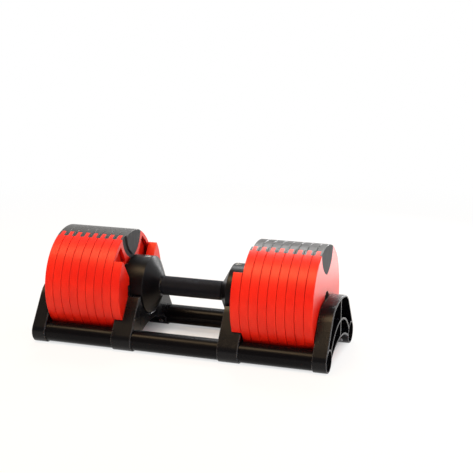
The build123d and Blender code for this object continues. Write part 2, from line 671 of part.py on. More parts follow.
def rail_screws():
    """Pan head screws that hold every bracket foot to its rail."""
    head_top = RAIL_SCREW_SEAT + SCREW_HEAD
    screw = post_z(SCREW_HEAD_RADIUS, 0, 0, RAIL_SCREW_SEAT, head_top)
    screw = chamfer(screw.edges().group_by(Axis.Z)[-1], SCREW_HEAD_BEVEL)
    screw -= Pos(0, 0, head_top) * hex_socket()
    screw += post_z(SCREW_RADIUS, 0, 0, RAIL_SCREW_SEAT - RAIL_SCREW_LENGTH, RAIL_SCREW_SEAT)
    screws = []
    for x in (INNER_SCREW_X, END_SCREW_X):
        for side in (-1, 1):
            right = at_rail_screw(x, side, screw)
            screws += [right, other_side(right)]
    return screws


def bracket_blank(x0, x1):
    """A solid bracket with its outline bevelled on both faces."""
    outline = bracket_outline()
    inset = offset(outline, -BRACKET_BEVEL, kind=Kind.INTERSECTION)
    inner = x0 + BRACKET_BEVEL
    outer = x1 - BRACKET_BEVEL
    blank = slab(outline, inner, outer)
    blank += loft([Plane.YZ.offset(x0) * inset, Plane.YZ.offset(inner) * outline], ruled=True)
    return blank + loft([Plane.YZ.offset(outer) * outline, Plane.YZ.offset(x1) * inset], ruled=True)


def above_ground(shape):
    """Cut a cradle piece flat where it stands."""
    far = 2 * END_BRACKET_OUTER
    return shape & box(-far, far, -far, far, 0, far)


def end_bracket():
    """The right end bracket: a thin web with a rim, sockets, an upright rib and an arched rib."""
    hollow = offset(bracket_outline(), -END_WALL, kind=Kind.INTERSECTION) - feet(FOOT_RADIUS)
    upright = Pos(0, DOME_TOP_HEIGHT / 2) * Rectangle(END_WALL, DOME_TOP_HEIGHT)
    rib_centre = Pos(0, RIB_ARCH_HEIGHT - RIB_ARCH_RADIUS)
    arched = rib_centre * Circle(RIB_ARCH_RADIUS) - rib_centre * Circle(RIB_ARCH_RADIUS - END_WALL)
    cells = hollow - upright - arched
    bracket = bracket_blank(END_BRACKET_INNER, END_BRACKET_OUTER)
    bracket -= slab(cells, END_BRACKET_INNER + END_WEB, END_BRACKET_OUTER + OVERCUT)
    for side in (-1, 1):
        bracket -= rail_screw_room(END_SCREW_X, side)
    return above_ground(bracket - rail_bores())


def inner_bracket():
    """The right inner bracket: a saddle for the hub and a ledge for the short plate."""
    far = 2 * END_BRACKET_OUTER
    bracket = bracket_blank(INNER_BRACKET_FACE, LEDGE_END)
    bracket &= box(-far, far, -far, far, 0, INNER_BRACKET_TOP)
    bracket -= box(INNER_BRACKET_BACK, far, -far, far, LEDGE_TOP, far)
    saddle = rod_x(HUB_RADIUS + HUB_FIT, 0, far, 0, AXIS_HEIGHT)
    mouth = HUB_RADIUS + HUB_FIT + SADDLE_CHAMFER
    flare = Pos(INNER_BRACKET_FACE, 0, AXIS_HEIGHT) * Rot(0, 90, 0) * Cone(
        mouth, mouth - SADDLE_CHAMFER, SADDLE_CHAMFER, align=(Align.CENTER, Align.CENTER, Align.MIN)
    )
    bracket = bracket - saddle - flare
    for side in (-1, 1):
        bracket -= rail_screw_room(INNER_SCREW_X, side)
    return above_ground(bracket - rail_bores())


def rail(side):
    """One round tube along the cradle: side is -1 at the front and 1 at the back."""
    inner = RAIL_RADIUS - RAIL_WALL
    tube = tube_x(RAIL_RADIUS, inner, -RAIL_END, RAIL_END, side * RAIL_Y, RAIL_HEIGHT)
    for x in (-END_SCREW_X, -INNER_SCREW_X, INNER_SCREW_X, END_SCREW_X):
        tube -= rail_screw_room(x, side)
    return tube


def rail_end_plugs():
    """Plugs inside the four rail ends, each with a blind socket and a bore for its rail screw."""
    plugs = []
    for side in (-1, 1):
        y = side * RAIL_Y
        plug = rod_x(RAIL_RADIUS - RAIL_WALL - RAIL_FIT, PLUG_START, PLUG_END, y, RAIL_HEIGHT)
        plug = chamfer(plug.edges().group_by(Axis.X)[-1], PLUG_CHAMFER)
        plug -= rod_x(PLUG_SOCKET_RADIUS, PLUG_END - PLUG_SOCKET_DEPTH, PLUG_END + OVERCUT, y, RAIL_HEIGHT)
        plug -= rail_screw_room(END_SCREW_X, side)
        plugs += [plug, other_side(plug)]
    return plugs


def cradle_pieces():
    """Everything that stays on the ground."""
    return {
        "rail_front": rail(-1),
        "rail_rear": rail(1),
        "rail_end_plugs": rail_end_plugs(),
        "end_bracket_left": other_side(end_bracket()),
        "end_bracket_right": end_bracket(),
        "inner_bracket_left": other_side(inner_bracket()),
        "inner_bracket_right": inner_bracket(),
        "rail_screws": rail_screws(),
    }


def main():
    """Write every piece to its own file."""
    os.makedirs("parts", exist_ok=True)
    nodes = {**cradle_pieces(), **handle_pieces(), **plates()}
    for name, shape in nodes.items():
        solids = shape if isinstance(shape, list) else [shape]
        pieces = [solid for item in solids for solid in item.solids()]
        export_step(Compound(children=pieces) if len(pieces) > 1 else pieces[0], f"parts/{name}.step")
    print(f"{len(nodes)} nodes, rails at y = {RAIL_Y:.2f}, rod travel {ROD_TRAVEL:.2f}, lead {ROD_LEAD:.2f}")


main()
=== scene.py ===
# %% [markdown]
# # An adjustable dumbbell resting in its cradle
#
# The dumbbell has a twist handle between two stacks of red plates, and it stands in a black cradle of
# two rails and four brackets. Its shapes are already solid models, packed as one frame, so this lesson
# is about looks: it loads that frame, gives each piece the finish of the real material, adds the fine
# knurl and the printed numbers, and lights the whole like a product picture on white.

import math

import bpy
from mathutils import Matrix, Vector


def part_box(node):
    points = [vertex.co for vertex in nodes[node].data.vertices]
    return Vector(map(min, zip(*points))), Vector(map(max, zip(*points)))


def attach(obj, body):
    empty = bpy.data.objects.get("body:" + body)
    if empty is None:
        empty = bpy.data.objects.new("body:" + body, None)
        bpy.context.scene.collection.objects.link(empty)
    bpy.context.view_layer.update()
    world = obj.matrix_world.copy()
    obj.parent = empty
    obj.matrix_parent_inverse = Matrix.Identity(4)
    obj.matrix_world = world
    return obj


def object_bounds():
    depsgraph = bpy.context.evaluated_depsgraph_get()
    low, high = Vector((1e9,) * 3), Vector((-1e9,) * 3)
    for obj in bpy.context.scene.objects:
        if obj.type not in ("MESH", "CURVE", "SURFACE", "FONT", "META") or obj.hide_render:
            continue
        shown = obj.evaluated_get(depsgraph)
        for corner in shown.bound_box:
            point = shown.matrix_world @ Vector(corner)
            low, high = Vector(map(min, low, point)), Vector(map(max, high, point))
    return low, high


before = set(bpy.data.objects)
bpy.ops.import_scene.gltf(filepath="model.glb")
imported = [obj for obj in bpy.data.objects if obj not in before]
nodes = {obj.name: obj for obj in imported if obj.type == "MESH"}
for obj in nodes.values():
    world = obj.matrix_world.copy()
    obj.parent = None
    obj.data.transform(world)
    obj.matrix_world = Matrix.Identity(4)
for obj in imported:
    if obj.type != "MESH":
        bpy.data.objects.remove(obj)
bpy.ops.object.select_all(action="DESELECT")
cad_low, cad_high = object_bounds()
print("loaded", len(nodes), "nodes", [round(v, 3) for v in cad_high - cad_low])

# %% [markdown]
# ## Places worked out from the frame
#
# Every detail sits on a solid that is already there. Its place could be typed in, but then it would be
# wrong as soon as a solid changes, so it is read from that solid. The grip gives the handle's axis and its
# radius, a number dial gives the circle that its numbers stand on, and a plate gives the radius of its rim.

# %% Read the places that the details need
grip_low, grip_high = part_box("grip_sleeve")
dial_low, dial_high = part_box("number_dial_right")
plate_low, plate_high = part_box("plate_right_8")
AXIS_HEIGHT = (grip_low.z + grip_high.z) / 2
GRIP_RADIUS = (grip_high.z - grip_low.z) / 2
DIAL_RADIUS = (dial_high.z - dial_low.z) / 2
PLATE_RADIUS = (plate_high.y - plate_low.y) / 2
print("axis", round(AXIS_HEIGHT, 4), "grip", round(GRIP_RADIUS, 4))
print("dial", round(DIAL_RADIUS, 4), "plate", round(PLATE_RADIUS, 4))

# %% [markdown]
# ## Helpers for finishes
#
# A finish is a material with one Principled shader and a few pattern nodes. Colours are written as they
# look on a screen, in hex, and turned to the linear values that the shader works with. Nodes could be
# added and linked line by line, but with one function that adds a node with its settings and the links
# into it, each finish reads as a short list.

# %% Colour and node helpers
MM = 0.001


def linear(hex_colour):
    """The linear colour for a screen colour such as #C81E1E."""
    channels = [int(hex_colour[i : i + 2], 16) / 255 for i in (1, 3, 5)]
    return tuple(c / 12.92 if c <= 0.04045 else ((c + 0.055) / 1.055) ** 2.4 for c in channels) + (1.0,)


def add_node(material, kind, settings=None, links=None):
    """One shader node with its properties or socket values set, and its inputs linked.

    A link comes from an output, or from a node, which then stands for its first output.
    """
    node = material.node_tree.nodes.new(kind)
    for key, value in (settings or {}).items():
        if isinstance(key, str) and hasattr(node, key):
            setattr(node, key, value)
        else:
            node.inputs[key].default_value = value
    for key, source in (links or {}).items():
        output = source.outputs[0] if isinstance(source, bpy.types.Node) else source
        material.node_tree.links.new(output, node.inputs[key])
    return node


def new_finish(name, colour, roughness, metallic=0.0, specular=0.5, coat=0.0):
    """A material with its Principled shader, at one colour and gloss."""
    material = bpy.data.materials.new(name)
    material.use_nodes = True
    shader = material.node_tree.nodes["Principled BSDF"]
    shader.inputs["Base Color"].default_value = linear(colour)
    shader.inputs["Roughness"].default_value = roughness
    shader.inputs["Metallic"].default_value = metallic
    shader.inputs["Specular IOR Level"].default_value = specular
    shader.inputs["Coat Weight"].default_value = coat
    return material, shader


def paint(material, *names):
    """Give whole nodes one finish."""
    for name in names:
        nodes[name].data.materials.clear()
        nodes[name].data.materials.append(material)


# %% [markdown]
# Two patterns come back in most finishes. Grain is the fine unevenness that a mould, a spray gun or a
# cutting tool leaves, and it goes to the surface's bumps. Drift is a slower change, over millimetres on a
# screw and centimetres on a plate, which keeps a face from looking like one flat value, and it goes to
# the gloss or the colour. Both could come from pictures of real surfaces, but noise on Object coordinates
# needs no picture, has a size in millimetres, and can be drawn out along the way that the tool went. Much
# real grain is only a tenth of a millimetre wide, which a picture of the whole dumbbell can't show, so it
# is drawn about half a millimetre to a millimetre wide. No real edge is quite sharp either, so the grain
# sits on edges that shade as if rounded by half a millimetre.

# %% Grain and drift helpers
EVEN = (1.0, 1.0, 1.0)
EDGE_RADIUS = 0.5 * MM
FEW_SAMPLES = 4
DRIFT_START = 0.35
DRIFT_END = 0.65


def speckle(material, size, detail=2.0, stretch=EVEN):
    """Noise with bumps of one size, longer along an axis whose stretch is small."""
    place = add_node(material, "ShaderNodeTexCoord")
    mapped = add_node(material, "ShaderNodeMapping", {"Scale": stretch}, {"Vector": place.outputs["Object"]})
    bumps = {"Scale": 1 / size, "Detail": detail}
    return add_node(material, "ShaderNodeTexNoise", bumps, {"Vector": mapped})


def drift(material, size, low, high, stretch=EVEN):
    """A value that wanders slowly over the surface, between two limits."""
    wander = speckle(material, size, stretch=stretch)
    limits = {"From Min": DRIFT_START, "From Max": DRIFT_END, "To Min": low, "To Max": high}
    return add_node(material, "ShaderNodeMapRange", limits, {"Value": wander})


def add_grain(material, shader, size, height, stretch=EVEN):
    """Fine bumps of one size and height all over, on edges that are a little rounded."""
    rounded = add_node(material, "ShaderNodeBevel", {"samples": FEW_SAMPLES, "Radius": EDGE_RADIUS})
    bump = add_node(
        material,
        "ShaderNodeBump",
        {"Strength": 1.0, "Distance": height},
        {"Height": speckle(material, size, stretch=stretch), "Normal": rounded},
    )
    material.node_tree.links.new(bump.outputs["Normal"], shader.inputs["Normal"])


# %% [markdown]
# ## The red plates
#
# The plates are steel under a satin enamel. Sprayed enamel dries with a faint orange peel about a
# millimetre across, its red is a little deeper in some places than in others, and its gloss is slightly
# warm. Little light reaches deep into the pockets, so a painted shade of dark red is laid there, found by
# how little open air is round a point. The gaps between the plates would take the painted shade as well,
# but light still reaches their outer two or three millimetres, so those stay red and the stack keeps its
# fine seams. The bore is left bare, because the rod slides through it. It could be a piece of its own, but
# a radius round the handle's axis, measured in the material, turns the finish to machined steel there and
# takes no extra mesh.

# %% Layers of colour
# The Mix node numbers its sockets: the share is first, and colours come after numbers and vectors.
MIX_SHARE = 0
COLOUR_UNDER = 6
COLOUR_OVER = 7
MIXED_COLOUR = 2


def layer_colours(material, shader, *layers):
    """Lay colours over the finish's own colour, the last one on top, each as strong as its share."""
    socket = shader.inputs["Base Color"]
    own_colour = tuple(socket.default_value)
    for share, colour in reversed(layers):
        layer = add_node(
            material,
            "ShaderNodeMix",
            {"data_type": "RGBA", COLOUR_UNDER: own_colour, COLOUR_OVER: linear(colour)},
            {MIX_SHARE: share},
        )
        material.node_tree.links.new(layer.outputs[MIXED_COLOUR], socket)
        socket = layer.inputs[COLOUR_UNDER]


# %% Shares by radius and by depth
OPEN_AIR = 0.75
SHUT_IN = 0.25


def from_axis(material, none_at, full_at):
    """A share that goes from 0 at one distance from the handle's axis to 1 at another."""
    place = add_node(material, "ShaderNodeTexCoord")
    centred = add_node(
        material,
        "ShaderNodeMapping",
        {"Location": (0, 0, -AXIS_HEIGHT), "Scale": (0, 1, 1)},
        {"Vector": place.outputs["Object"]},
    )
    distance = add_node(material, "ShaderNodeVectorMath", {"operation": "LENGTH"}, {0: centred})
    limits = {"From Min": none_at, "From Max": full_at}
    return add_node(material, "ShaderNodeMapRange", limits, {"Value": distance.outputs["Value"]})


def in_pockets(material, reach):
    """1 deep inside a pocket or a gap, and 0 on a free face."""
    air = add_node(material, "ShaderNodeAmbientOcclusion", {"samples": FEW_SAMPLES, "Distance": reach})
    limits = {"From Min": OPEN_AIR, "From Max": SHUT_IN}
    return add_node(material, "ShaderNodeMapRange", limits, {"Value": air.outputs["AO"]})


# %% Satin red enamel with a bare bore
BARE_RADIUS = 14.7 * MM
BARE_EDGE = 0.25 * MM
POCKET_REACH = 9 * MM
RIM_DEPTH = 2.5 * MM

red_enamel, shader = new_finish("satin red enamel", "#D21508", roughness=0.42, specular=0.32, coat=0.08)
shader.inputs["Coat Roughness"].default_value = 0.3
shader.inputs["Specular Tint"].default_value = linear("#FFEACC")
brighter = drift(red_enamel, size=45 * MM, low=0.0, high=1.0)
# Painted shade: a dark red laid deep in pockets and gaps, where little light reaches, but not in the outer
# rim band.
behind_rim = from_axis(red_enamel, PLATE_RADIUS, PLATE_RADIUS - RIM_DEPTH)
painted_pocket_shade = add_node(
    red_enamel,
    "ShaderNodeMath",
    {"operation": "MINIMUM"},
    {0: in_pockets(red_enamel, POCKET_REACH), 1: behind_rim},
)
bare = from_axis(red_enamel, BARE_RADIUS + BARE_EDGE, BARE_RADIUS)
layer_colours(red_enamel, shader, (brighter, "#DA1C0C"), (painted_pocket_shade, "#5A0403"), (bare, "#B9B7B4"))
red_enamel.node_tree.links.new(bare.outputs["Result"], shader.inputs["Metallic"])
add_grain(red_enamel, shader, size=1.3 * MM, height=0.02 * MM)
short_plates = ["short_plate_left", "short_plate_right"]
plate_names = [name for name in nodes if name.startswith("plate_")] + short_plates
paint(red_enamel, *plate_names)
print("enamelled", len(plate_names), "plates")

# %% [markdown]
# ## The nylon inserts
#
# Each plate carries a moulded insert of glass filled nylon, which is a dry dark grey more than a black.
# The inserts rub past each other whenever the handle is lifted, so their faces have fine upright scuffs,
# a little paler than the rest, and have gone matt. The scuffs could be drawn one by one, but the crests of
# a noise that is drawn out along the height give them all at once, each of its own length. The rims keep
# the gloss of the mould, so the gloss goes by which way a surface faces. Edges are knocked and rubbed most
# of all, which leaves them smooth, and they are painted pale, partly as that wear and partly as a painted
# highlight of the light that rounded edges catch. They are found with a rounding of the shading: where the
# rounded surface turns away from the flat one, there is an edge.

# %% Wear and gloss helpers
EDGE_BAND_WIDTH = 0.8 * MM
EDGE_NONE = 0.995
EDGE_FULL = 0.94


# The pale edges are partly wear and partly a painted highlight of the light that rounded edges catch.
def worn_edges(material):
    """1 along the edges, where the rounded surface turns away from the flat one, and 0 on plain faces."""
    rounded = add_node(material, "ShaderNodeBevel", {"samples": FEW_SAMPLES, "Radius": EDGE_BAND_WIDTH})
    flat = add_node(material, "ShaderNodeNewGeometry")
    agree = add_node(
        material,
        "ShaderNodeVectorMath",
        {"operation": "DOT_PRODUCT"},
        {0: rounded, 1: flat.outputs["Normal"]},
    )
    limits = {"From Min": EDGE_NONE, "From Max": EDGE_FULL}
    return add_node(material, "ShaderNodeMapRange", limits, {"Value": agree.outputs["Value"]})


def drift_gloss(material, shader, size, change, stretch=EVEN):
    """Let the roughness wander slowly, by a change each way from the finish's own value."""
    middle = shader.inputs["Roughness"].default_value
    wander = drift(material, size, middle - change, middle + change, stretch)
    material.node_tree.links.new(wander.outputs["Result"], shader.inputs["Roughness"])
    return wander


# %% Glass filled nylon with upright scuffs
SCUFF_WIDTH = 1.1 * MM
SCUFF_DETAIL = 3.0
SCUFF_STRETCH = (1.0, 1.0, 0.04)
SCUFF_CRESTS = {"From Min": 0.52, "From Max": 0.72, "To Max": 0.7}

black_nylon, shader = new_finish("glass filled nylon", "#28292B", roughness=0.41, specular=0.42)
strokes = speckle(black_nylon, SCUFF_WIDTH, SCUFF_DETAIL, SCUFF_STRETCH)
scuffs = add_node(black_nylon, "ShaderNodeMapRange", SCUFF_CRESTS, {"Value": strokes})
# Pale edges: wear and a painted highlight.
edges = worn_edges(black_nylon)
layer_colours(black_nylon, shader, (scuffs, "#47484A"), (edges, "#4E4F51"))
add_grain(black_nylon, shader, size=0.8 * MM, height=0.03 * MM)
insert_names = [name for name in nodes if name.startswith("insert_")]
paint(black_nylon, *insert_names)
print("moulded", len(insert_names), "inserts")

# %% Matt faces, glossy rims and smooth edges
GLOSS_UNDER = 2
GLOSS_OVER = 3
RUBBED_FACING = {"From Min": 0.8, "From Max": 0.95}
RUBBED_ROUGHNESS = 0.78
EDGE_ROUGHNESS = 0.2

facing = add_node(black_nylon, "ShaderNodeNewGeometry")
sides = add_node(black_nylon, "ShaderNodeSeparateXYZ", links={"Vector": facing.outputs["Normal"]})
across = add_node(black_nylon, "ShaderNodeMath", {"operation": "ABSOLUTE"}, {0: sides.outputs["X"]})
rubbed = add_node(black_nylon, "ShaderNodeMapRange", RUBBED_FACING, {"Value": across})
gloss = drift_gloss(black_nylon, shader, size=6 * MM, change=0.05)
for share, roughness in ((rubbed, RUBBED_ROUGHNESS), (edges, EDGE_ROUGHNESS)):
    gloss = add_node(
        black_nylon,
        "ShaderNodeMix",
        {"data_type": "FLOAT", GLOSS_OVER: roughness},
        {MIX_SHARE: share, GLOSS_UNDER: gloss},
    )
black_nylon.node_tree.links.new(gloss.outputs[0], shader.inputs["Roughness"])
print("gloss from", EDGE_ROUGHNESS, "to", RUBBED_ROUGHNESS)

# %% [markdown]
# ## The hubs and the brackets
#
# The hubs are a smooth satin moulding and the cradle's brackets a tougher one with a fine spark eroded
# grain. Both are a deep black whose shape shows almost only through its gloss. A greyer base would show
# more of the shape, but it would look dusty, so the base stays very dark, the gloss drifts a little over
# the faces, and the edges are painted pale like those of the inserts, as wear and as a painted highlight.

# %% Hub casing and bracket plastic
# The pale edge colour, for wear and a painted highlight.
WEAR_AND_HIGHLIGHT_GREY = "#5C5E66"

black_casing, shader = new_finish("satin black casing", "#07070A", roughness=0.34, specular=0.14)
drift_gloss(black_casing, shader, size=18 * MM, change=0.04)
layer_colours(black_casing, shader, (worn_edges(black_casing), WEAR_AND_HIGHLIGHT_GREY))
add_grain(black_casing, shader, size=0.6 * MM, height=0.008 * MM)
paint(black_casing, "hub_left", "hub_right", "end_cover_left", "end_cover_right")

black_bracket, shader = new_finish("moulded black bracket", "#060508", roughness=0.28, specular=0.2)
drift_gloss(black_bracket, shader, size=25 * MM, change=0.04)
layer_colours(black_bracket, shader, (worn_edges(black_bracket), WEAR_AND_HIGHLIGHT_GREY))
add_grain(black_bracket, shader, size=0.7 * MM, height=0.012 * MM)
bracket_names = [name for name in nodes if "bracket" in name]
paint(black_bracket, "rail_end_plugs", *bracket_names)
print("moulded", len(bracket_names), "brackets")

# %% [markdown]
# ## The rails
#
# The rails are drawn steel tubes in satin black paint. Drawing leaves faint lines along a tube that the
# paint doesn't quite hide. They are too shallow to be worth modelling, so they are a grain that is long
# along the rail and fine across it, and the gloss drifts more slowly along the rail too.

# %% Rail paint
RAIL_DRIFT = (0.3, 1.0, 1.0)
DRAWN_LINES = (0.05, 1.0, 1.0)

black_rail, shader = new_finish("satin black paint", "#08070A", roughness=0.255, specular=0.09)
drift_gloss(black_rail, shader, size=30 * MM, change=0.035, stretch=RAIL_DRIFT)
add_grain(black_rail, shader, size=1.2 * MM, height=0.008 * MM, stretch=DRAWN_LINES)
paint(black_rail, "rail_front", "rail_rear")
print("painted the rails")

# %% [markdown]
# ## The knurled grip
#
# The grip is blackened steel with a diamond knurl: two sets of fine ridges wind round it in opposite
# directions and leave small points between them. A bump map could hint at that, but the points are real
# shapes that a hand feels, so they are modelled. A tube of square faces is poked, which puts a point in
# the middle of each face, and when the old edges are dissolved the faces that stay are diamonds. A second
# poke, this time with a height, turns every diamond into a low pyramid. A real knurl is about 1.3 mm from
# point to point; this one is a little coarser, so that it still shows in a small picture.

# %% Knurl helpers
def pick_edges(piece, test):
    """Select the edges of a mesh whose two ends pass a test, and go to edit mode."""
    bpy.ops.object.mode_set(mode="EDIT")
    bpy.ops.mesh.select_mode(type="EDGE")
    bpy.ops.mesh.select_all(action="DESELECT")
    bpy.ops.object.mode_set(mode="OBJECT")
    for edge in piece.data.edges:
        edge.select = test(*(piece.data.vertices[index].co for index in edge.vertices))
    bpy.ops.object.mode_set(mode="EDIT")


def poke_all(height):
    """Put a point in the middle of every face, raised by a height."""
    bpy.ops.mesh.select_mode(type="FACE")
    bpy.ops.mesh.select_all(action="SELECT")
    bpy.ops.mesh.poke(offset=height)


# %% Roll the knurl
KNURL_STARTS = 48
KNURL_HEIGHT = 0.35 * MM
KNURL_COLLAR = 2.0 * MM
END_MARGIN = 0.2 * MM
SLANT_LIMIT = 0.1

knurl_length = grip_high.x - grip_low.x - 2 * KNURL_COLLAR
rings = round(knurl_length * KNURL_STARTS / (2 * math.pi * GRIP_RADIUS))
near_end = knurl_length / 2 - END_MARGIN
bpy.ops.object.select_all(action="DESELECT")
bpy.ops.mesh.primitive_cylinder_add(
    vertices=KNURL_STARTS,
    radius=GRIP_RADIUS,
    depth=knurl_length,
    end_fill_type="NOTHING",
    location=(0, 0, AXIS_HEIGHT),
    rotation=(0, math.pi / 2, 0),
)
knurl = bpy.context.object
knurl.name = "grip_knurl"
bpy.ops.object.transform_apply(location=True, rotation=True, scale=True)
pick_edges(knurl, lambda a, b: abs(a.x - b.x) > near_end)
bpy.ops.mesh.subdivide(number_cuts=rings - 1)
poke_all(0.0)
pick_edges(
    knurl,
    lambda a, b: abs(a.x + b.x) < 2 * near_end
    and min(abs(a.x - b.x), (a - b).yz.length) < SLANT_LIMIT * (a - b).length,
)
bpy.ops.mesh.dissolve_edges(use_verts=False)
poke_all(KNURL_HEIGHT)
print("raised", len(knurl.data.polygons), "faces in", rings, "rings")

# %% Close the knurl into a sleeve
KNURL_WALL = 1.0 * MM

pick_edges(knurl, lambda a, b: min(abs(a.x), abs(b.x)) > near_end and abs(a.x - b.x) < near_end)
bpy.ops.mesh.extrude_edges_move()
inner_scale = (GRIP_RADIUS - KNURL_WALL) / GRIP_RADIUS
bpy.ops.transform.resize(value=(1, inner_scale, inner_scale), center_override=(0, 0, AXIS_HEIGHT))
bpy.ops.mesh.bridge_edge_loops()
bpy.ops.mesh.select_all(action="SELECT")
bpy.ops.mesh.normals_make_consistent(inside=False)
bpy.ops.object.mode_set(mode="OBJECT")
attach(knurl, "grip")
print("knurl", len(knurl.data.polygons), "faces")

# %% [markdown]
# The steel is chemically blackened, which leaves a slightly blue gloss. Hands rub the points a little
# brighter than the hollows between them. The points could be picked out face by face, but they are simply
# what is farthest from the axis, so the colour goes by that distance.

# %% Blackened steel
black_knurl, shader = new_finish("blackened knurl", "#050507", roughness=0.47, specular=0.2)
shader.inputs["Specular Tint"].default_value = linear("#CFDCFF")
points = from_axis(black_knurl, GRIP_RADIUS, GRIP_RADIUS + KNURL_HEIGHT)
layer_colours(black_knurl, shader, (points, "#18181C"))
drift_gloss(black_knurl, shader, size=12 * MM, change=0.05)
paint(black_knurl, "grip_sleeve")
knurl.data.materials.append(black_knurl)
print("blackened the grip")

# %% [markdown]
# ## Turned steel and screws
#
# The rods, the sleeve and the pins are turned steel, and the cutting tool leaves fine rings round them.
# They could be cut as grooves, but a grain that is fine along the handle and long across it looks the same
# and costs no faces. The screws are zinc plated, which gives a gloss that changes over a millimetre or two.

# %% Bare metals
TURNED_RINGS = (1.0, 0.05, 0.05)

turned_steel, shader = new_finish("turned steel", "#B4B4B6", roughness=0.28, metallic=1.0)
drift_gloss(turned_steel, shader, size=8 * MM, change=0.06)
add_grain(turned_steel, shader, size=0.5 * MM, height=0.005 * MM, stretch=TURNED_RINGS)
paint(turned_steel, "scroll_sleeve", "selector_rod_left", "selector_rod_right")
paint(turned_steel, "lock_pin_left", "lock_pin_right")

plated_screw, shader = new_finish("zinc plated screw", "#8A8A8D", roughness=0.31, metallic=1.0)
drift_gloss(plated_screw, shader, size=1.5 * MM, change=0.07)
paint(plated_screw, "cover_screws", "short_plate_screws", "rail_screws")
print("finished the bare metals")

# %% [markdown]
# ## Bushes, dials and windows
#
# The bushes are turned black acetal, which is waxy and smooth. The dials are moulded matt so that their
# numbers read well, and each hub has a clear acrylic window over them. Acrylic has an IOR of 1.49, but the
# real window shows so little reflection that a lower value was matched to it.

# %% Acetal, dial and window finishes
WINDOW_IOR = 1.12
WINDOW_CLEAR = 0.9

black_acetal, shader = new_finish("turned black acetal", "#0C0C0D", roughness=0.31, specular=0.4)
drift_gloss(black_acetal, shader, size=5 * MM, change=0.05)
add_grain(black_acetal, shader, size=0.4 * MM, height=0.004 * MM, stretch=TURNED_RINGS)
paint(black_acetal, "grip_bushes")

dial_black, shader = new_finish("matt black dial", "#121213", roughness=0.55)
drift_gloss(dial_black, shader, size=6 * MM, change=0.05)
add_grain(dial_black, shader, size=0.5 * MM, height=0.01 * MM)
paint(dial_black, "number_dial_left", "number_dial_right")

clear_window, shader = new_finish("clear acrylic window", "#F2F4F5", roughness=0.06)
shader.inputs["Transmission Weight"].default_value = WINDOW_CLEAR
shader.inputs["IOR"].default_value = WINDOW_IOR
paint(clear_window, "window_lenses")
print("finished the bushes, dials and windows")

# %% [markdown]
# ## Numbers on the dials
#
# A dial carries one plain number for each setting, and the hub's window shows the one on top. There is a
# setting for the bare handle and one for each pair of plates. The numbers could be a pattern in the dial's
# finish, but text made into a thin mesh stays sharp from any distance. Each number is added flat, made a
# mesh, and then moved onto the dial's rim: lifted to the rim's radius and turned round the axis by its
# setting's share of a turn, the opposite way to the twist that brings it up. Both dials carry the same
# numbers, so the ring is made once and copied.

# %% Make a ring of numbers
SETTINGS = 1 + sum(name.startswith("plate_right_") for name in nodes)
NUMBER_SIZE = 7.0 * MM
NUMBER_RELIEF = 0.1 * MM


def number_mesh(number):
    """One number round the handle's axis, at the place that its setting brings under the window."""
    bpy.ops.object.select_all(action="DESELECT")
    bpy.ops.object.text_add()
    text = bpy.context.object
    text.data.body = str(number)
    text.data.size = NUMBER_SIZE
    text.data.align_x = "CENTER"
    text.data.align_y = "CENTER"
    text.data.extrude = NUMBER_RELIEF
    bpy.ops.object.convert(target="MESH")
    flat = bpy.context.object
    turn = Matrix.Rotation(-(number - 1) * 2 * math.pi / SETTINGS, 4, "X")
    to_axis = Matrix.Translation((0, 0, AXIS_HEIGHT))
    to_rim = Matrix.Translation((0, 0, DIAL_RADIUS))
    flat.data.transform(to_axis @ turn @ to_rim)
    return flat


digits = [number_mesh(number) for number in range(1, SETTINGS + 1)]
bpy.ops.object.select_all(action="DESELECT")
for digit in digits:
    digit.select_set(True)
bpy.context.view_layer.objects.active = digits[0]
bpy.ops.object.join()
number_ring = bpy.context.object
print("made", SETTINGS, "numbers")

# %% Print the numbers on both dials
number_paint, shader = new_finish("pale number paint", "#E9E7E2", roughness=0.525)
drift_gloss(number_paint, shader, size=2 * MM, change=0.075)
number_ring.data.materials.clear()
number_ring.data.materials.append(number_paint)
bpy.ops.object.duplicate()
rings_of_numbers = {"left": number_ring, "right": bpy.context.object}
for side, printed in rings_of_numbers.items():
    dial = f"number_dial_{side}"
    low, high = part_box(dial)
    printed.name = f"dial_numbers_{side}"
    printed.data.transform(Matrix.Translation(((low.x + high.x) / 2, 0, 0)))
    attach(printed, "grip")
    print("printed", printed.name, len(printed.data.polygons), "faces")

# %% [markdown]
# ## Smooth round faces
#
# The solids arrive as small flat triangles. Smaller triangles would look rounder but make a heavy model.
# Shading smooth below an angle makes the rims, cones and tubes look round and keeps the real edges sharp.

# %% Shade the solids
EDGE_ANGLE = math.radians(30)
bpy.ops.object.select_all(action="DESELECT")
for node in nodes.values():
    node.select_set(True)
bpy.context.view_layer.objects.active = nodes["hub_right"]
bpy.ops.object.shade_smooth_by_angle(angle=EDGE_ANGLE)
bpy.ops.object.select_all(action="DESELECT")
print("shaded", len(nodes), "solids")

# %% [markdown]
# ## A white floor
#
# The picture stands on white that has no horizon. More light on a pale floor would make it white, but it
# would bleach the object too. So the floor is a pale matt sheet that takes the shadows, and to the camera,
# to mirrors and through clear pieces it is mostly its own white. Far from the object it is all white, so
# that it meets the white behind it without a line. Under the cradle less of it is white, because that is
# where the shade is: some below the open grip, and none below the plates. The shade lies a little to the
# back, away from the key light, and the black pieces there mirror the shade alone.

# %% Lay the floor
FLOOR_SIZE = 12.0
FLOOR_DROP = 0.2 * MM
WHITE = "#FFFFFF"

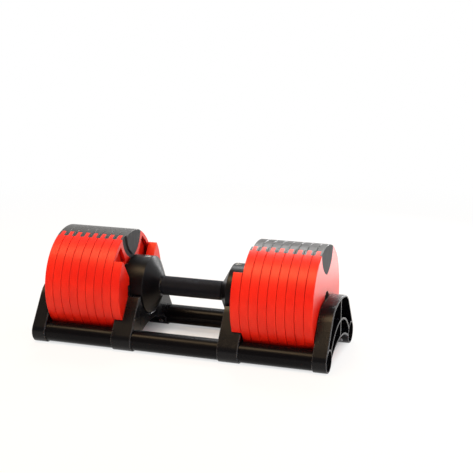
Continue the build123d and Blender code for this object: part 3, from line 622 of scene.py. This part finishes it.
bpy.ops.mesh.primitive_plane_add(size=FLOOR_SIZE, location=(0, 0, -FLOOR_DROP))
floor = bpy.context.object
floor.name = "floor"
pale_floor, shader = new_finish("pale studio floor", "#F2EDE6", roughness=0.8, specular=0.1)
glow = add_node(pale_floor, "ShaderNodeEmission", {"Color": linear(WHITE), "Strength": 1.0})
floor.data.materials.append(pale_floor)
print("laid a floor of", FLOOR_SIZE, "m")

# %% Where the floor is white
WHITE_NEAR = 0.86
WHITE_UNDER = 0.45
SHADE_EDGE = 0.03
SHADE_SHIFT = 0.01
NEAR_EDGE = 0.5
FAR_EDGE = 1.5
MATH = "ShaderNodeMath"
LARGER = {"operation": "MAXIMUM"}
PRODUCT = {"operation": "MULTIPLY"}

place = add_node(pale_floor, "ShaderNodeTexCoord")
on_floor = {"Vector": place.outputs["Object"]}
distance = add_node(pale_floor, "ShaderNodeVectorMath", {"operation": "LENGTH"}, on_floor)
fade = {"From Min": NEAR_EDGE, "From Max": FAR_EDGE, "To Min": WHITE_NEAR, "To Max": 1.0}
white = add_node(pale_floor, "ShaderNodeMapRange", fade, {"Value": distance.outputs["Value"]})
shade_place = add_node(pale_floor, "ShaderNodeMapping", {"Location": (0, -SHADE_SHIFT, 0)}, on_floor)
axes = add_node(pale_floor, "ShaderNodeSeparateXYZ", links={"Vector": shade_place})


def from_middle(axis, start, end, low=0.0, high=1.0):
    """A value that goes from low to high between two distances from the middle, along one axis."""
    away = add_node(pale_floor, MATH, {"operation": "ABSOLUTE"}, {0: axes.outputs[axis]})
    limits = {"From Min": start, "From Max": end, "To Min": low, "To Max": high}
    return add_node(pale_floor, "ShaderNodeMapRange", limits, {"Value": away})


past_end = from_middle("X", cad_high.x - SHADE_EDGE, cad_high.x)
past_rail = from_middle("Y", cad_high.y - SHADE_EDGE, cad_high.y)
below_grip = from_middle("X", grip_high.x, grip_high.x + 2 * SHADE_EDGE, WHITE_UNDER, 0.0)
outside = add_node(pale_floor, MATH, LARGER, {0: past_end, 1: past_rail})
unshaded = add_node(pale_floor, MATH, LARGER, {0: outside, 1: below_grip})
print("shade of", round(cad_high.x, 3), "by", round(cad_high.y, 3), "m each way")

# %% Show the white to the camera and to mirrors
seen = add_node(pale_floor, "ShaderNodeLightPath")
by_mirrors = {0: seen.outputs["Is Glossy Ray"], 1: seen.outputs["Is Transmission Ray"]}
mirrored = add_node(pale_floor, MATH, LARGER, by_mirrors)
in_picture = add_node(pale_floor, MATH, PRODUCT, {0: seen.outputs["Is Camera Ray"], 1: unshaded})
in_mirrors = add_node(pale_floor, MATH, PRODUCT, {0: mirrored, 1: outside})
shown = add_node(pale_floor, MATH, LARGER, {0: in_picture, 1: in_mirrors})
share = add_node(pale_floor, MATH, PRODUCT, {0: white, 1: shown})
mixed = add_node(pale_floor, "ShaderNodeMixShader", links={0: share, 1: shader, 2: glow})
output = pale_floor.node_tree.nodes["Material Output"]
pale_floor.node_tree.links.new(mixed.outputs[0], output.inputs["Surface"])
print("white near the object", WHITE_NEAR, "and below the grip", WHITE_UNDER)

# %% [markdown]
# ## A white back and a dim room
#
# A product picture is taken in front of a white sheet, in a room that is dim elsewhere. The sheet could be
# a mesh, but the world does the same for every view. The camera sees white. What mirrors sees the white
# behind the object and the dim room in front of it, which is what keeps the black pieces black. The rest is
# an even soft light that fills the shadows.

# %% World
ROOM_LIGHT = 0.3
BACK_START = -0.15
BACK_END = 0.45

world = bpy.data.worlds.new("white studio")
world.use_nodes = True
bpy.context.scene.world = world
background = world.node_tree.nodes["Background"]
background.inputs["Color"].default_value = linear(WHITE)
seen = add_node(world, "ShaderNodeLightPath")
place = add_node(world, "ShaderNodeTexCoord")
axes = add_node(world, "ShaderNodeSeparateXYZ", links={"Vector": place.outputs["Generated"]})
back = {"From Min": BACK_START, "From Max": BACK_END}
behind = add_node(world, "ShaderNodeMapRange", back, {"Value": axes.outputs["Y"]})
strength = add_node(world, MATH, PRODUCT, {0: seen.outputs["Is Glossy Ray"], 1: behind})
for way in ("Is Camera Ray", "Is Transmission Ray"):
    strength = add_node(world, MATH, LARGER, {0: strength, 1: seen.outputs[way]})
lifted = add_node(world, MATH, {**LARGER, 1: ROOM_LIGHT}, {0: strength})
world.node_tree.links.new(lifted.outputs[0], background.inputs["Strength"])
print("room light", ROOM_LIGHT)

# %% [markdown]
# ## Lamps
#
# Area lamps stand in for soft boxes. Point lamps would be simpler, but black plastic shows its shape by
# what it mirrors, and a box mirrors as a soft band. The key is a long warm box above the front left, which
# lays the bright band along the tops of the plates and rails. A neutral box at the right lights the end
# faces, and a small cool one at the right front draws the edges of the brackets. Two boxes at the back are
# for surfaces that the camera sees at a flat angle, which mirror what is behind them: the back box lifts
# the tops from above, and the rim box draws light lines along the seams of the inserts. The low box is a
# dim card near the right end, which the end face mirrors as a pale sheen. It is hidden from the camera, as
# a photographer would keep it out of the picture. Each box is aimed at the middle of the dumbbell.

# %% Soft boxes
AIM = Vector((0, 0, 0.09))
WARM = "#FFDAA8"
COOL = "#E4ECFF"


def soft_box(name, place, width, height, power, colour):
    """A rectangular area lamp aimed at the dumbbell."""
    lamp = bpy.data.lights.new(name, "AREA")
    lamp.shape = "RECTANGLE"
    lamp.size = width
    lamp.size_y = height
    lamp.energy = power
    lamp.color = linear(colour)[:3]
    box = bpy.data.objects.new(name, lamp)
    bpy.context.scene.collection.objects.link(box)
    away = Vector(place) - AIM
    box.matrix_world = Matrix.Translation(place) @ away.to_track_quat("Z", "Y").to_matrix().to_4x4()
    print(name, power, "W")
    return box


soft_box("key box", (-0.2, -0.65, 1.45), width=1.6, height=0.5, power=27, colour=WARM)
soft_box("right box", (1.5, 0.15, 0.8), width=0.9, height=0.9, power=9, colour=WHITE)
soft_box("edge box", (1.0, -0.93, 0.5), width=0.3, height=0.3, power=3, colour=COOL)
soft_box("back box", (-0.28, 1.0, 1.5), width=0.4, height=0.5, power=12, colour=WHITE)
low_box = soft_box("low box", (0.36, 0.42, 0.07), width=0.4, height=0.14, power=0.6, colour=WHITE)
low_box.visible_camera = False
soft_box("rim box", (0.21, 0.95, 0.42), width=0.2, height=0.35, power=4, colour=WHITE)

# %% [markdown]
# ## Camera
#
# The camera stands at the right front and looks down a little, at the angle of the picture. It could be
# placed by eye, but its place and its turn were fitted to the picture's own perspective, so the outlines
# fall where they do in the picture.

# %% Camera
CAMERA_PLACE = Vector((0.5811, -1.5511, 0.5593))
CAMERA_YAW = math.radians(18.17)
CAMERA_PITCH = math.radians(13.15)
CAMERA_ROLL = math.radians(0.205)
CAMERA_LENS = 82.29
CAMERA_SENSOR = 36.0

level = Matrix.Rotation(CAMERA_YAW, 4, "Z") @ Matrix.Rotation(math.pi / 2 - CAMERA_PITCH, 4, "X")
camera_data = bpy.data.cameras.new("picture camera")
camera_data.lens = CAMERA_LENS
camera_data.sensor_width = CAMERA_SENSOR
camera = bpy.data.objects.new("picture camera", camera_data)
bpy.context.scene.collection.objects.link(camera)
camera.matrix_world = Matrix.Translation(CAMERA_PLACE) @ level @ Matrix.Rotation(CAMERA_ROLL, 4, "Z")
bpy.context.scene.camera = camera
bpy.context.scene.view_settings.view_transform = "Standard"
print("camera at", [round(v, 3) for v in CAMERA_PLACE])
